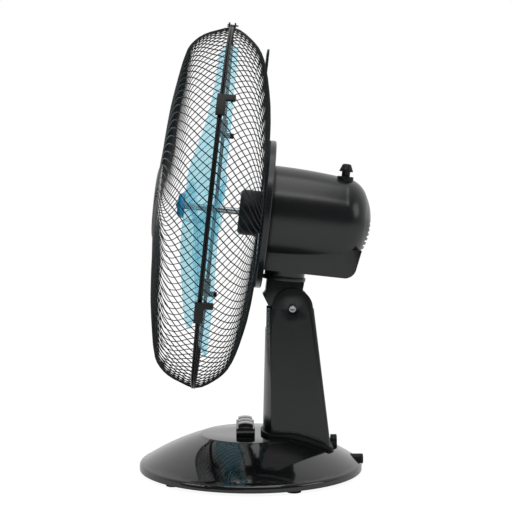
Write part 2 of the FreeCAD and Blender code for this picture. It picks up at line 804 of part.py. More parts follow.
def neck():
    body = new_body("neck_bracket")
    lug = s.neck_lug_radius
    front = s.swing_y - 20.5
    rear = s.swing_y + 23.6
    throat = s.tilt_height + 12.0
    side = outline(body, "YZ_Plane", [
        (rear, SWIVEL_BOTTOM), (front, SWIVEL_BOTTOM), (front, throat + 4.5),
        (front - 3.0, throat), (s.tilt_y - lug * 1.42, s.tilt_height),
        (s.tilt_y - lug * 0.8, s.tilt_height - lug * 0.6),
        (s.tilt_y + lug * 0.8, s.tilt_height - lug * 0.6, lug),
        (s.tilt_y + lug, s.tilt_height, lug),
        (rear - 0.8, throat + 9.0)])
    pad(body, side, s.neck_half_width * 2, midplane=True)
    hole = circles(body, "YZ_Plane", [
        (s.tilt_y, s.tilt_height, s.bolt_radius + s.bolt_running_gap)])
    cut(body, hole, None, midplane=True)
    bush = circles(body, "XY_Plane", [(0, s.swing_y, BUSH_RADIUS)], BUSH_END)
    cut(body, bush, 60.0, back=True)
    below = circles(body, "XY_Plane", [(0, s.swing_y, s.swing_pin_radius + 3.4)],
                    s.swing_pin_end - 1.0)
    cut(body, below, BUSH_END - s.swing_pin_end + 1.0, back=True)
    window = rectangle(body, "YZ_Plane", front - 9.0, s.swing_y + 4.0, s.swing_pin_end - 0.6,
                       BUSH_END - 0.6)
    cut(body, window, (s.swing_pin_radius + 3.0) * 2, midplane=True)
    keep(body, "neck_bracket", NECK)
    plate = new_body("swivel_plate")
    disc = circles(plate, "XY_Plane", [(0, s.swing_y, s.swivel_radius)], SWIVEL_BOTTOM)
    pad(plate, disc, s.swivel_thickness)
    cut(plate, circles(plate, "XY_Plane", [(0, s.swing_y, BUSH_RADIUS)]), None, midplane=True)
    keep(plate, "swivel_plate", NECK)
    frame = NECK.multiply(Placement(Vector(0, num(s.swing_y), 0), Rotation()))
    bore = s.swing_pin_radius + s.swing_running_gap
    turned("swivel_bush", frame, [
        (bore, BUSH_END), (BUSH_RADIUS, BUSH_END), (BUSH_RADIUS, s.swivel_top),
        (bore, s.swivel_top)], "XZ_Plane", "V_Axis")
    turned("swivel_washer", frame, [
        (bore, s.swivel_top), (s.swivel_radius - 4.0, s.swivel_top),
        (s.swivel_radius - 4.0, s.swivel_top + s.thrust_washer),
        (bore, s.swivel_top + s.thrust_washer)], "XZ_Plane", "V_Axis")
    inside_floor = s.fan_height - s.housing_floor + s.housing_wall
    turned("swing_pin", frame, [
        (0, s.swing_pin_end), (s.swing_pin_radius, s.swing_pin_end),
        (s.swing_pin_radius, inside_floor), (13.0, inside_floor), (13.0, inside_floor + 3.0),
        (0, inside_floor + 3.0)], "XZ_Plane", "V_Axis")
    clip_top = BUSH_END - 0.3
    turned("swing_clip", frame, [
        (s.swing_pin_radius, clip_top - 1.4), (s.swing_pin_radius + 2.2, clip_top - 1.4),
        (s.swing_pin_radius + 2.2, clip_top), (s.swing_pin_radius, clip_top)],
        "XZ_Plane", "V_Axis")


# ---------------------------------------------------------------- head: plate and housing

PLATE_REAR = s.plate_front + s.plate_thickness
HOUSING_FRONT = PLATE_REAR


def mount_plate():
    """The round plate that carries the rear guard and closes the motor housing."""
    body = new_body("mount_plate")
    hole = s.nose_radius
    turn(body, outline(body, "YZ_Plane", [
        (s.plate_front, hole), (PLATE_REAR, hole), (PLATE_REAR, s.plate_radius - 1.2),
        (PLATE_REAR - 1.2, s.plate_radius), (s.plate_front + 1.2, s.plate_radius),
        (s.plate_front, s.plate_radius - 1.2)]))
    places = [(x, y, s.screw_radius) for x, y in ring_points(4, s.plate_screw_circle, 45)]
    cut(body, circles(body, "XZ_Plane", places), None, midplane=True)
    keep(body, "mount_plate", HEAD)


def housing_profile(inset):
    """The housing's turned outline from the plate to its domed rear."""
    rear = s.housing_rear - inset
    return [
        (HOUSING_FRONT, s.housing_radius - inset),
        (s.housing_rear - 35.0, s.housing_radius - 5.5 - inset, 700.0),
        (rear - 8.0, s.housing_radius - 24.0 - inset * 0.5, 30.0),
        (rear, s.pole_flat, 62.0),
    ]


def motor_housing():
    body = new_body("motor_housing")

    def closed(inset):
        corners = housing_profile(inset)
        path = [(corners[3][0], 0), (corners[3][0], corners[3][1]),
                (corners[2][0], corners[2][1], corners[3][2]),
                (corners[1][0], corners[1][1], corners[2][2]),
                (corners[0][0], corners[0][1], corners[1][2]),
                (HOUSING_FRONT, 0)]
        return path

    turn(body, outline(body, "YZ_Plane", closed(0)))
    half = s.chin_half_width
    low = s.housing_floor
    chin = outline(body, "YZ_Plane", [
        (HOUSING_FRONT, -low), (s.chin_rear, -low), (s.chin_rear + 12.0, -low + 12.0, 14.0),
        (s.chin_rear + 16.0, -30.0), (HOUSING_FRONT, -30.0)])
    pad(body, chin, half * 2, midplane=True)
    wall = s.housing_wall
    turn(body, outline(body, "YZ_Plane", closed(wall)), cut=True)
    room = outline(body, "YZ_Plane", [
        (HOUSING_FRONT, -low + wall), (s.chin_rear - 2.0, -low + wall),
        (s.chin_rear + 8.0, -low + 13.0), (s.chin_rear + 6.0, -24.0), (HOUSING_FRONT, -24.0)])
    cut(body, room, (half - wall) * 2, midplane=True)
    centre = s.swing_y - s.rim_y
    boss_drop = s.fan_height - s.swivel_top - s.thrust_washer - 0.1
    boss = circles(body, "XY_Plane", [(0, centre, s.housing_boss_radius - 3.0)], -boss_drop)
    pad(body, boss, boss_drop - low)
    pin = circles(body, "XY_Plane", [(0, centre, s.swing_pin_radius)], -boss_drop)
    cut(body, pin, boss_drop - low + wall, back=True)
    knob = circles(body, "XY_Plane", [
        (s.gear_centre, s.gear_y, s.knob_stem_radius + 0.3)], s.gear_centre)
    cut(body, knob, s.housing_radius, back=True)
    slot = s.vent_width / 2
    for step in range(SIZES["vent_count"]):
        z = s.vent_pitch * (step - 6.0) - 8.0
        reach = 26.0 - abs(step - 4) * 1.6
        vent = rectangle(body, "XZ_Plane", -reach, reach, z - slot, z + slot,
                         -(s.housing_rear - 34.0))
        cut(body, vent, 60.0, back=False)
    keep(body, "motor_housing", HEAD)


def knob_collar():
    """The dark collar round the knob's stem, seated on the curved housing."""
    form = housing_form()
    x, y = num(s.gear_centre), num(s.gear_y)
    top = num(s.knob_cap_bottom) - num(s.knob_travel) - 0.4
    ring = rod(x, y, 40, 9.5, top - 40, UP).cut(
        rod(x, y, 30, num(s.knob_stem_radius) + 0.3, 60, UP))
    return ring.cut(form)


def housing_form():
    """The housing's turned outer form as a solid block."""
    corners = housing_profile(0)
    points = [Vector(0, num(c[0]), num(c[1])) for c in corners]
    edges = [Part.LineSegment(Vector(0, num(HOUSING_FRONT), 0), points[0]).toShape()]
    for index in range(1, 4):
        start, end = points[index - 1], points[index]
        flat = [Vector(p.y, p.z, 0) for p in (start, end)]
        arc = arc_between(flat[0], flat[1], -num(corners[index][2]))
        half = arc.value((arc.FirstParameter + arc.LastParameter) / 2)
        edges.append(Part.Arc(start, Vector(0, half.x, half.y), end).toShape())
    middle = Vector(0, points[3].y, 0)
    edges.append(Part.LineSegment(points[3], middle).toShape())
    edges.append(Part.LineSegment(middle, Vector(0, num(HOUSING_FRONT), 0)).toShape())
    return Part.Face(Part.Wire(edges)).revolve(Vector(), ALONG_Y, 360)


# ---------------------------------------------------------------- motor

STATOR_REAR = s.stator_front + s.stator_length
BELL_END = STATOR_REAR + 20.0


def motor():
    bore = s.shaft_radius + s.shaft_running_gap
    wall = s.bell_wall
    back = s.stator_front
    front = back - s.bell_depth
    seat = s.stator_radius - 3.0
    front_bell = new_body("motor_front_bell")
    turn(front_bell, outline(front_bell, "YZ_Plane", [
        (s.nut_front + 1.0, bore), (s.nut_front + 1.0, s.nose_radius - 2.0),
        (s.plate_front, s.nose_radius - 2.0), (s.plate_front, s.nose_radius),
        (PLATE_REAR, s.nose_radius), (PLATE_REAR, s.bell_radius - 4.0),
        (PLATE_REAR + 4.0, s.bell_radius), (back, s.bell_radius),
        (back, seat), (front + wall + 2.5, seat), (front + wall + 2.5, bore)]))
    places = [(x, y, s.screw_radius) for x, y in ring_points(4, s.plate_screw_circle, 45)]
    cut(front_bell, circles(front_bell, "XZ_Plane", places, -PLATE_REAR), 6.5, back=False)
    keep(front_bell, "motor_front_bell", HEAD)
    turned("motor_rear_bell", HEAD, [
        (STATOR_REAR, s.bell_radius), (STATOR_REAR + 13.0, s.bell_radius - 3.0),
        (STATOR_REAR + 17.0, 13.0), (BELL_END, 13.0), (BELL_END, bore),
        (STATOR_REAR + 12.0, bore), (STATOR_REAR + 11.0, s.bell_radius - 8.5),
        (STATOR_REAR, seat)])
    gap = s.rotor_radius + s.air_gap
    turned("stator_core", HEAD, [
        (back, gap), (back, s.stator_radius), (STATOR_REAR, s.stator_radius),
        (STATOR_REAR, gap)])
    coils = []
    for start in (num(back) - 8.0, num(STATOR_REAR)):
        ring = rod(0, start, 0, s.stator_radius - 4.0, 8.0, ALONG_Y).cut(
            rod(0, start - 1, 0, gap + 1.5, 10.0, ALONG_Y))
        coils.append(ring)
    shape_piece("stator_coils", Part.makeCompound(coils), HEAD)
    turned("rotor_core", HEAD, [
        (back + 1.0, s.shaft_radius), (back + 1.0, s.rotor_radius),
        (STATOR_REAR - 1.0, s.rotor_radius), (STATOR_REAR - 1.0, s.shaft_radius)])
    turned("motor_shaft", HEAD, [
        (s.shaft_front, 0), (s.shaft_front, s.shaft_radius), (s.shaft_rear, s.shaft_radius),
        (s.shaft_rear, 0)])
    turned("guard_nut", HEAD, [
        (s.nut_front, s.nose_radius - 2.0), (s.nut_front, s.nut_radius - 3.0),
        (s.nut_front + 3.0, s.nut_radius), (s.plate_front, s.nut_radius),
        (s.plate_front, s.nose_radius - 2.0)])
    screw = rod(0, num(s.plate_front) - 1.8, 0, s.screw_head_radius, 1.8, ALONG_Y).fuse(
        rod(0, num(s.plate_front), 0, s.screw_radius, s.plate_thickness + 6.0, ALONG_Y))
    screw = screw.removeSplitter()
    screws = []
    for x, z in ring_points(4, s.plate_screw_circle, 45):
        screws.append(screw.translated(Vector(num(x), 0, num(z))))
    shape_piece("plate_screws", Part.makeCompound(screws), HEAD)


# ---------------------------------------------------------------- guard

def bent_path(points):
    """Straight runs joined by tangent arcs, each as large as its two runs allow."""
    edges = []
    start = points[0]
    for index in range(1, len(points) - 1):
        before = points[index - 1] - points[index]
        after = points[index + 1] - points[index]
        turn_angle = math.pi - before.getAngle(after)
        reach = 0.45 * min(before.Length, after.Length)
        before.normalize()
        after.normalize()
        first = points[index] + before * reach
        last = points[index] + after * reach
        radius = reach / math.tan(turn_angle / 2)
        inwards = (before + after).normalize()
        centre = points[index] + inwards * (reach / math.cos((math.pi - turn_angle) / 2))
        middle = centre - inwards * radius
        edges.append(Part.LineSegment(start, first).toShape())
        edges.append(Part.Arc(first, middle, last).toShape())
        start = last
    edges.append(Part.LineSegment(start, points[-1]).toShape())
    return Part.Wire(edges)


def wire_along(points, radius):
    """A round wire along a bent path."""
    path = bent_path(points)
    first = path.Edges[0]
    circle = Part.Circle(points[0], first.tangentAt(first.FirstParameter), radius)
    return path.makePipeShell([Part.Wire(circle.toShape())], True, True)


def on_guard(along, radius, angle):
    """A point of the guard: its place along the axis, its radius and its angle."""
    angle = math.radians(angle)
    return Vector(radius * math.sin(angle), along, radius * math.cos(angle))


def around(shape, count, first=0.0):
    """Copies of a shape, evenly round the fan axis."""
    step = 360.0 / count
    return [shape.rotated(Vector(), ALONG_Y, first + step * index) for index in range(count)]


def rim_ring(name, along, radius, wire):
    """A round ring about the fan axis."""
    ring = doc.addObject("Part::Torus", name)
    ring.Radius1 = num(radius)
    ring.Radius2 = num(wire)
    bind(ring, "Radius1", radius)
    bind(ring, "Radius2", wire)
    ring.Placement = Placement(Vector(0, num(along), 0), Rotation(ALONG_X, 90))
    return ring


WELD_GAP = 0.06
INNER_RING_WIRE = 1.2


def rear_wires(grow):
    """The wires of the rear guard, each thicker all round by a clearance."""
    rim = num(s.guard_radius)
    count = SIZES["guard_wires"]
    start = 2 * num(s.rim_wire) + WELD_GAP
    inner = num(s.rear_ring_radius) + INNER_RING_WIRE + WELD_GAP
    depth = num(s.rear_depth)
    one = wire_along([
        on_guard(start, rim, 0), on_guard(0.17 * depth, rim * 0.990, 1.2),
        on_guard(0.42 * depth, rim * 0.948, 5.0), on_guard(0.72 * depth, rim * 0.845, 11.0),
        on_guard(0.87 * depth, rim * 0.690, 16.0), on_guard(0.98 * depth, inner + 19.0, 21.0),
        on_guard(depth, inner, 21.0)], num(s.guard_wire) + grow)
    return around(one, count, 180.0 / count)


def guard():
    rim = num(s.guard_radius)
    wire = num(s.guard_wire)
    count = SIZES["guard_wires"]
    start = 2 * num(s.rim_wire) + WELD_GAP
    half_step = 180.0 / count
    depth = num(s.front_depth) + 0.4
    badge = num(s.badge_radius) + WELD_GAP
    front = wire_along([
        on_guard(-start, rim, 0), on_guard(-0.15 * depth, rim * 0.992, -1.2),
        on_guard(-0.41 * depth, rim * 0.960, -5.0), on_guard(-0.68 * depth, rim * 0.883, -11.0),
        on_guard(-0.85 * depth, rim * 0.657, -18.0), on_guard(-0.98 * depth, badge + 18.0, -27.0),
        on_guard(-depth, badge, -27.0)], wire)
    fronts = around(front, count, half_step)
    shape_piece("front_guard_wires", Part.makeCompound(fronts), HEAD)
    rears = rear_wires(0)
    shape_piece("rear_guard_wires", Part.makeCompound(rears), HEAD)
    for name, along, radius, size in (
            ("front_rim_ring", -s.rim_wire, s.guard_radius, s.rim_wire),
            ("rear_rim_ring", s.rim_wire, s.guard_radius, s.rim_wire),
            ("rear_inner_ring", s.plate_front - INNER_RING_WIRE, s.rear_ring_radius,
             Dim.of(INNER_RING_WIRE))):
        keep(rim_ring(name, along, radius, size), name, HEAD)


def guard_fittings():
    """The badge, the clips round the rim, the clamp screw at the top and the lift handle."""
    badge_rear = -(s.front_depth - 1.6)
    badge_front = badge_rear - s.badge_thickness
    turned("guard_badge", HEAD, [
        (badge_rear, 0), (badge_rear, s.badge_radius), (badge_front + 1.5, s.badge_radius),
        (badge_front, s.badge_radius - 3.0), (badge_front - 0.8, s.pole_flat, 900.0),
        (badge_front - 0.8, 0)])
    rim = num(s.guard_radius)
    tube = num(s.rim_wire)
    long = num(s.clip_length)
    angle = num(s.clip_angle)
    clear = 0.1
    outer = rim + tube + clear
    half = 2 * tube + clear
    jaw = 7.5
    clip = box(-long / 2, long / 2, -half - 2.2, half + 2.2, outer, outer + 2.6)
    for side in (-half - 2.2, half):
        clip = clip.fuse(box(-jaw, jaw, side, side + 2.2, rim - tube - 1.0, outer + 1.0))
    lever = box(-long / 2, -long / 2 + 7.0, half + 1.2, half + 12.0, outer - 0.6, outer + 2.6)
    clip = clip.fuse(lever).removeSplitter()
    clip = round_edges(clip, 1.0, lambda edge: edge.BoundBox.YMin > half + 11)
    made = []
    for turn_angle in (90 - angle, 90 + angle, 270 - angle, 270 + angle):
        made.append(clip.rotated(Vector(), ALONG_Y, turn_angle))
    shape_piece("guard_clips", Part.makeCompound(made), HEAD)
    lug = box(-6.0, 6.0, -half - 1.6, -half, rim - tube, outer + 6.0)
    lug = lug.fuse(box(-6.0, 6.0, half, half + 1.6, rim - tube, outer + 6.0))
    lug = lug.fuse(box(-6.0, 6.0, -half, half, outer, outer + 1.4)).removeSplitter()
    screw_line = outer + 3.8
    hole = rod(0, -half - 5, screw_line, 1.5, 2 * half + 10, ALONG_Y)
    shape_piece("rim_clamp", lug.cut(hole), HEAD)
    screw = rod(0, -half - 1.6 - 1.8, screw_line, 2.6, 1.8, ALONG_Y).fuse(
        rod(0, -half - 1.6, screw_line, 1.5, 2 * half + 6.2, ALONG_Y)).removeSplitter()
    shape_piece("rim_clamp_screw", screw, HEAD)
    handle()


def handle():
    """A plate moulded round the wires behind the top of the rear guard, to lift the fan by."""
    low = num(s.guard_radius) * 0.76
    top = num(s.guard_radius) * 0.90
    front = num(s.rear_depth) * 0.765
    wide = num(s.handle_half_width)
    plate = box(-wide, wide, front, front + s.handle_thickness, low, top)
    plate = round_edges(plate, 8.0, lambda edge: edge.BoundBox.YLength > 2.0)
    for wire in rear_wires(num(s.wire_clearance)):
        if wire.BoundBox.intersect(plate.BoundBox):
            plate = plate.cut(wire)
    shape_piece("carry_handle", plate, HEAD)


# ---------------------------------------------------------------- propeller

def blade_station(radius):
    """The half angle and the forward and rear reach of a blade at a radius."""
    full = num(s.blade_radius)
    share = radius / full
    half = num(s.blade_half_angle)
    if share < 0.6:
        half *= 0.62 + 0.38 * math.sin(share / 0.6 * math.pi / 2)
    else:
        half *= math.sqrt(max(0.0, 1 - ((share - 0.6) / 0.43) ** 2.6))
    lead = -num(s.hub_front) - 31.0 * max(0.0, share - 0.25) ** 1.2
    trail = 1.0 - num(s.hub_rear) - 4.0 * math.sin(share * 0.75 * math.pi)
    return half, lead, trail


def blade_row(radius):
    """Points across one blade at a radius, from the leading edge to the trailing edge."""
    half, lead, trail = blade_station(radius)
    points = []
    for step in range(9):
        share = step / 8.0
        angle = math.radians(half * (2 * share - 1) + 4.0)
        rise = lead + (trail - lead) * (share + 0.10 * math.sin(share * 2 * math.pi))
        camber = 2.5 * math.sin(share * math.pi)
        points.append(Vector(radius * math.sin(angle), -rise - camber, radius * math.cos(angle)))
    return points


def propeller():
    full = num(s.blade_radius)
    thick = num(s.blade_thickness)
    inside = num(s.hub_radius) - 5.0
    radii = [inside, 34.0, 60.0, 92.0, 124.0, 152.0, 174.0, full - 7.0, full]
    scale = full / 195.0
    radii = [inside] + [radius * scale for radius in radii[1:-2]] + radii[-2:]
    surface = Part.BSplineSurface()
    surface.interpolate([blade_row(radius) for radius in radii])
    blade = surface.toShape().extrude(Vector(0, thick, 0))
    blade.translate(Vector(0, -thick / 2, 0))
    hub_outline = [
        (0, 0), (s.hub_front, 0), (s.hub_front, s.hub_radius - 2.0),
        (s.hub_front + 2.0, s.hub_radius), (0.0, s.hub_radius), (1.0, s.hub_rear_radius),
        (s.hub_rear, s.hub_rear_radius), (s.hub_rear, 0)]
    points = [Vector(0, num(y), num(z)) for y, z in hub_outline]
    edges = [Part.LineSegment(points[i - 1], points[i]).toShape() for i in range(1, len(points))]
    edges.append(Part.LineSegment(points[-1], points[0]).toShape())
    hub = Part.Face(Part.Wire(edges)).revolve(Vector(), ALONG_Y, 360)
    made = hub
    for one in around(blade, SIZES["blade_count"]):
        made = made.fuse(one)
    bore = rod(0, -100, 0, s.shaft_radius, 200, ALONG_Y)
    slot = box(-11.0, 11.0, s.hub_rear - 4.0, s.hub_rear + 1, -1.6, 1.6)
    made = made.cut(bore).cut(slot).removeSplitter()
    shape_piece("fan_blade", made, HEAD)
    pin = rod(-10.0, s.hub_rear - 2.0, 0, 1.5, 20.0, ALONG_X).cut(bore)
    shape_piece("drive_pin", pin, HEAD)
    rear = s.hub_front
    turned("spinner_nut", HEAD, [
        (rear, s.shaft_radius), (s.shaft_front, s.shaft_radius), (s.shaft_front, 0),
        (s.spinner_front, 0), (s.spinner_front + 3.0, s.spinner_radius - 3.0, 16.0),
        (rear - 4.0, s.spinner_radius), (rear, s.spinner_radius)])


# ---------------------------------------------------------------- gearbox and knob

def toothed(radius, root, teeth, thickness, bore):
    """A spur wheel with straight-sided teeth, lying on the XY plane."""
    points = []
    for step in range(teeth):
        for share, reach in ((0.0, root), (0.18, radius), (0.42, radius), (0.6, root)):
            angle = 2 * math.pi * (step + share) / teeth
            points.append(Vector(reach * math.cos(angle), reach * math.sin(angle), 0))
    points.append(points[0])
    wheel = Part.Face(Part.makePolygon(points)).extrude(Vector(0, 0, thickness))
    return wheel.cut(Part.makeCylinder(bore, thickness))


def gearbox():
    """The worm on the shaft, its wheel on the knob's spindle, and the case round them."""
    x, y = num(s.gear_centre), num(s.gear_y)
    thick = num(s.gear_thickness)
    wheel_radius = x - num(s.worm_radius) - num(s.gear_gap)
    spindle = num(s.spindle_radius)
    running = num(s.shaft_running_gap)
    half = 11.0
    pitch = 2.0
    corners = [(s.gear_y - half, s.shaft_radius)]
    for step in range(int(half)):
        start = s.gear_y - half + step * pitch
        corners += [(start, s.worm_radius - 0.5), (start + 0.6, s.worm_radius),
                    (start + 1.4, s.worm_radius)]
    corners += [(s.gear_y + half, s.worm_radius - 0.5), (s.gear_y + half, s.shaft_radius)]
    turned("shaft_worm", HEAD, corners)
    wheel = toothed(wheel_radius, wheel_radius - 1.1, SIZES["gear_teeth"], thick,
                    spindle + running)
    wheel.translate(Vector(x, y, -thick / 2))
    shape_piece("worm_wheel", wheel, HEAD)
    wall = 2.4
    front = num(BELL_END)
    rear = num(s.shaft_rear) + wall + 2.0
    left = -num(s.worm_radius) - 1.5 - wall
    right = x + wheel_radius + 1.5 + wall
    low = -thick / 2 - wall - 0.4
    high = 8.0 + wall
    case = box(left, right, front, rear, -high, high)
    case = case.cut(box(left + wall, right - wall, front + wall, rear - wall,
                        -high + wall, high - wall))
    case = case.cut(rod(0, front - 5, 0, s.shaft_radius + s.shaft_running_gap, 15, ALONG_Y))
    for level in (low, -low - wall):
        web = box(x - 6, x + 6, y - 6, rear - wall, level, level + wall)
        case = case.fuse(web)
    case = case.cut(rod(x, y, -40, spindle + running, 80, UP)).removeSplitter()
    shape_piece("gearbox_case", case, HEAD)
    shape_piece("knob_collar", knob_collar(), HEAD)
    frame = HEAD.multiply(Placement(Vector(x, y, 0), Rotation()))
    shoulder = high + num(s.knob_travel) + 2.0
    tip = -(high + 2.0)
    knob = [(0, tip), (s.spindle_radius, tip), (s.spindle_radius, shoulder),
            (s.knob_stem_radius, shoulder), (s.knob_stem_radius, s.knob_cap_bottom),
            (s.knob_cap_radius, s.knob_cap_bottom),
            (s.knob_cap_radius, s.knob_cap_bottom + 1.2),
            (s.knob_tip_radius, s.knob_cap_top - 1.0), (s.knob_tip_radius - 1.5, s.knob_cap_top),
            (0, s.knob_cap_top)]
    turned("swing_knob", frame, knob, "XZ_Plane", "V_Axis")
    floor = -num(s.housing_floor) + num(s.housing_wall)
    shape_piece("run_capacitor", round_edges(
        box(-34, -12, 118, 146, floor, floor + 10), 2.0,
        lambda edge: edge.BoundBox.ZLength > 9), HEAD)


# ---------------------------------------------------------------- write the pieces

def check_and_write():
    """Refuses a failed feature or a broken solid, then writes every piece."""
    doc.recompute()
    for item in doc.Objects:
        if "Invalid" in item.State or "Error" in item.State:
            raise RuntimeError(f"{item.Name} ({item.Label}) did not build: {item.State}")
    for piece in pieces:
        if piece.Shape.isNull() or not piece.Shape.isValid() or not piece.Shape.Solids:
            raise RuntimeError(f"{piece.Label} has no valid solid")
    os.makedirs("parts", exist_ok=True)
    for piece in pieces:
        piece.Shape.exportStep(f"parts/{piece.Label}.step")


base()
keys()
column()
shape_piece("column_screws", column_screws())
hinge()
neck()
mount_plate()
motor_housing()
motor()
guard()
guard_fittings()
propeller()
gearbox()
check_and_write()
for piece in pieces:
    print(f"{piece.Label:20s} solids {len(piece.Shape.Solids):3d}  {piece.Shape.Volume:12.1f} mm3")
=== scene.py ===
"""Desk fan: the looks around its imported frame, laid out as a Blender add-on."""

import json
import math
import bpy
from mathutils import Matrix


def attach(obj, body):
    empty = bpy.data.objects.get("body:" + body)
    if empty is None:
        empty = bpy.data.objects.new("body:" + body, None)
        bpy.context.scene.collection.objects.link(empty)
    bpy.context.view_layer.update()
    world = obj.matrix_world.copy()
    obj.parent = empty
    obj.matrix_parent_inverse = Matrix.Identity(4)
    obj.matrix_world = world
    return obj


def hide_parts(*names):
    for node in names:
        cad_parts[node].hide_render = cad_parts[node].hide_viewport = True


bl_info = {
    "name": "Desk Fan",
    "version": (1, 0, 0),
    "blender": (4, 5, 0),
    "location": "3D View > Sidebar > Desk Fan",
    "description": "Models the wire guard, propeller, shells and finishes of a desk fan",
    "category": "Object",
}

import bpy
from mathutils import Matrix, Vector

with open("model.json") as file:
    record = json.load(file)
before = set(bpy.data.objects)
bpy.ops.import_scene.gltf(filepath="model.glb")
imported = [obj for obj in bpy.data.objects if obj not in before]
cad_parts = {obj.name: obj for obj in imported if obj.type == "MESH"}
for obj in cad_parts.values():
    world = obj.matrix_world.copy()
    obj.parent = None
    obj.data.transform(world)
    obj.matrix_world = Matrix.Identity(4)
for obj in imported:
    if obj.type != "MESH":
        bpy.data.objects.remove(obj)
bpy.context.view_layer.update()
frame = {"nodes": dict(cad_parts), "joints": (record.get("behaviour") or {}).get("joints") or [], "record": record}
JOINTS = {joint["name"]: joint for joint in frame["joints"]}
MM = 0.001


# ---------------------------------------------------------------- where the fan's parts are

def head_frame():
    """The head's own frame: its origin in the rim's middle, Y to the rear, Z up the guard."""
    spin = JOINTS["blade_spin"]
    rear = -Vector(spin["axis"]).normalized()
    side = Vector((1, 0, 0))
    up = side.cross(rear)
    turned = Matrix((side, rear, up)).transposed().to_4x4()
    return Matrix.Translation(spin["pos_m"]) @ turned


HEAD = head_frame()


# ---------------------------------------------------------------- sizes and colours

class GuardSizes(bpy.types.PropertyGroup):
    """Sizes of the wire guard."""
    wires: bpy.props.IntProperty(
        name="Wires", description="Number of wires in each half of the guard", default=120)
    wire_radius: bpy.props.FloatProperty(
        name="Wire radius", description="Radius of one guard wire", default=0.6 * MM,
        unit="LENGTH")
    front_sweep: bpy.props.FloatProperty(
        name="Front sweep", description="Turn of a front wire from the rim to the badge",
        default=math.radians(-30), subtype="ANGLE")
    rear_sweep: bpy.props.FloatProperty(
        name="Rear sweep", description="Turn of a rear wire from the rim to the inner ring",
        default=math.radians(24), subtype="ANGLE")


class FanColours(bpy.types.PropertyGroup):
    """Colours of the fan's mouldings, as linear values."""
    shell: bpy.props.FloatVectorProperty(
        name="Shell", description="Charcoal of the housing and the column", size=3,
        subtype="COLOR", default=(0.0042, 0.0049, 0.0053))
    gloss: bpy.props.FloatVectorProperty(
        name="Base", description="Black of the base", size=3,
        subtype="COLOR", default=(0.0030, 0.0033, 0.0036))
    blade: bpy.props.FloatVectorProperty(
        name="Blade", description="Tint of the clear blades", size=3,
        subtype="COLOR", default=(0.76, 0.935, 0.965))
    spinner: bpy.props.FloatVectorProperty(
        name="Spinner", description="Tint of the spinner nut", size=3,
        subtype="COLOR", default=(0.02, 0.27, 0.52))


class StageSizes(bpy.types.PropertyGroup):
    """Sizes of the stage round the fan."""
    floor_size: bpy.props.FloatProperty(
        name="Floor", description="Side of the pale floor", default=24.0, unit="LENGTH")
    lens: bpy.props.FloatProperty(
        name="Lens", description="Focal length of the camera in millimetres", default=81.1,
        unit="CAMERA")


# ---------------------------------------------------------------- materials

def linear(code):
    """A linear colour from an sRGB hex value."""
    parts = [int(code[i:i + 2], 16) / 255 for i in (1, 3, 5)]
    straight = [c / 12.92 if c <= 0.04045 else ((c + 0.055) / 1.055) ** 2.4 for c in parts]
    return (*straight, 1.0)


def add(tree, kind, settings=None, **inputs):
    """Adds a node, sets its properties, and sets or links its inputs."""
    node = tree.nodes.new(kind)
    for key, value in (settings or {}).items():
        setattr(node, key, value)
    for key, value in inputs.items():
        socket = node.inputs[int(key[1:])] if key[0] == "i" and key[1:].isdigit() else (
            node.inputs[key.replace("_", " ")])
        if isinstance(value, bpy.types.NodeSocket):
            tree.links.new(value, socket)
        else:
            socket.default_value = value
    return node


def start(name):
    """An empty material tree with an output."""
    material = bpy.data.materials.new(name)
    material.use_nodes = True
    tree = material.node_tree
    tree.nodes.clear()
    return material, tree, add(tree, "ShaderNodeOutputMaterial")


def moulded(name, dark, pale, rough, grain, depth, **shader):
    """A moulding: two near shades in soft clouds, a fine texture and an uneven gloss."""
    material, tree, output = start(name)
    place = add(tree, "ShaderNodeTexCoord").outputs["Object"]
    cloud = add(tree, "ShaderNodeTexNoise", Vector=place, Scale=1 / (40 * MM), Detail=3.0)
    shade = add(tree, "ShaderNodeMix", {"data_type": "RGBA"}, i0=cloud.outputs["Fac"],
                i6=dark, i7=pale)
    spark = add(tree, "ShaderNodeTexNoise", Vector=place, Scale=1 / grain, Detail=2.0)
    gloss = add(tree, "ShaderNodeMapRange", Value=spark.outputs["Fac"], To_Min=rough * 0.85,
                To_Max=rough * 1.2)
    bump = add(tree, "ShaderNodeBump", Strength=0.5, Distance=depth,
               Height=spark.outputs["Fac"])
    skin = add(tree, "ShaderNodeBsdfPrincipled", Base_Color=shade.outputs[2],
               Roughness=gloss.outputs[0], Normal=bump.outputs[0], **shader)
    tree.links.new(skin.outputs[0], output.inputs[0])
    return material


def gloss_black(colours):
    """High-gloss ABS from a polished mould: deep black with mirror-like reflections."""
    dark = (*colours.gloss, 1.0)
    return moulded("high_gloss_moulded_abs", dark, linear("#0e0f10"), 0.08, 6 * MM, 0.004 * MM,
                   IOR=1.54, Coat_Weight=0.25, Coat_Roughness=0.05)


def satin_charcoal(colours):
    """ABS from a spark-eroded mould: charcoal with an even fine grain that dulls the gloss.

    The real grain is about 0.1 mm, so it is drawn at 0.5 mm to show."""
    dark = (*colours.shell, 1.0)
    return moulded("spark_textured_moulded_abs", dark, linear("#151718"), 0.24, 0.5 * MM,
                   0.012 * MM, IOR=1.5)


def black_nylon():
    """Glass-filled nylon as moulded: dull black with faint flow clouds."""
    return moulded("moulded_glass_filled_nylon", linear("#070808"), linear("#0d0e0e"), 0.45,
                   0.8 * MM, 0.02 * MM, IOR=1.5, Specular_IOR_Level=0.3)


def coated_wire():
    """Steel wire under epoxy powder: black with a low orange peel and a soft gleam."""
    return moulded("powder_coated_steel_wire", linear("#050506"), linear("#0b0c0c"), 0.4,
                   1.5 * MM, 0.03 * MM, IOR=1.5, Specular_IOR_Level=0.25)


